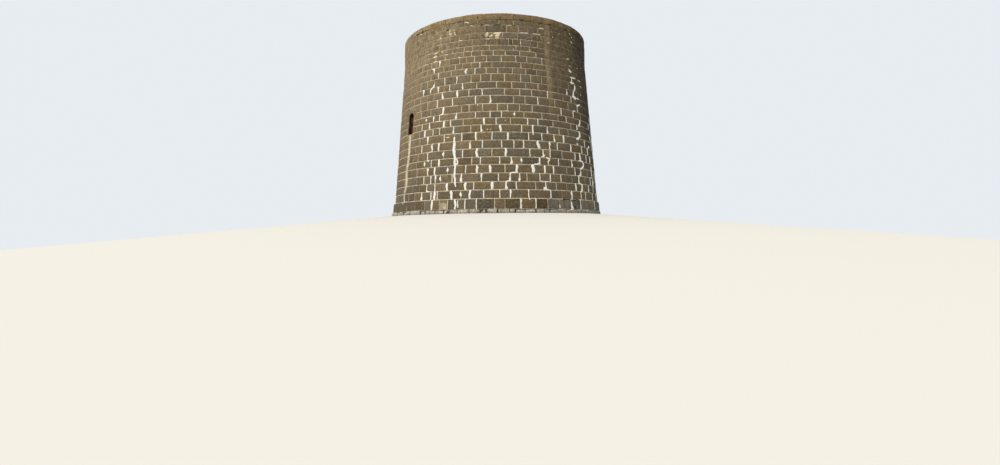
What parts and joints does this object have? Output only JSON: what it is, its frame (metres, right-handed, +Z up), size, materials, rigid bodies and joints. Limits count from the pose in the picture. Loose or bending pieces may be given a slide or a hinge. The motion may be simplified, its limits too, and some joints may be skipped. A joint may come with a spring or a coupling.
{
  "type": "martello tower",
  "caption": "Round battered coastal gun tower of coursed granite, with a plinth, raised doorway, arched windows, domed vault and parapeted gun platform.",
  "frame": {"origin": "centre of the tower on the ground, at the underside of the footing", "axes": "+Z up the tower; +Y to the landward back, where the doorway is; windows face -X and +X; -Y is the blank seaward front"},
  "size_m": [15.2078, 15.2078, 12.37],
  "materials": {
    "granite": "matte",
    "dressed_granite": "matte",
    "foundation_stone": "matte",
    "paving_stone": "matte",
    "vault_stone": "matte",
    "oak": "matte",
    "painted_timber": "matte"
  },
  "bodies": {
    "root": {"back_door_arch": "dressed_granite", "back_door_frame": "painted_timber", "back_door_leaf": "painted_timber", "back_door_sill": "dressed_granite", "coping_back": "dressed_granite", "coping_front": "dressed_granite", "coping_left": "dressed_granite", "coping_right": "dressed_granite", "firing_step": "paving_stone", "first_floor_boards": "oak", "first_floor_joists": "oak", "footing": "foundation_stone", "ground_floor": "paving_stone", "gun_platform_paving": "paving_stone", "left_window_arch": "dressed_granite", "left_window_frame": "painted_timber", "left_window_shutters": "painted_timber", "left_window_sill": "dressed_granite", "parapet_back": "granite", "parapet_front": "granite", "parapet_left": "granite", "parapet_right": "granite", "plinth": "granite", "right_window_arch": "dressed_granite", "right_window_frame": "painted_timber", "right_window_shutters": "painted_timber", "right_window_sill": "dressed_granite", "vault": "vault_stone", "wall_back_beside_door": "granite", "wall_back_left": "granite", "wall_back_over_door": "granite", "wall_back_right": "granite", "wall_back_under_door": "granite", "wall_front": "granite", "wall_front_left": "granite", "wall_front_right": "granite", "wall_left_beside_window": "granite", "wall_left_over_window": "granite", "wall_left_under_window": "granite", "wall_right_beside_window": "granite", "wall_right_over_window": "granite", "wall_right_under_window": "granite"}
  },
  "joints": []
}
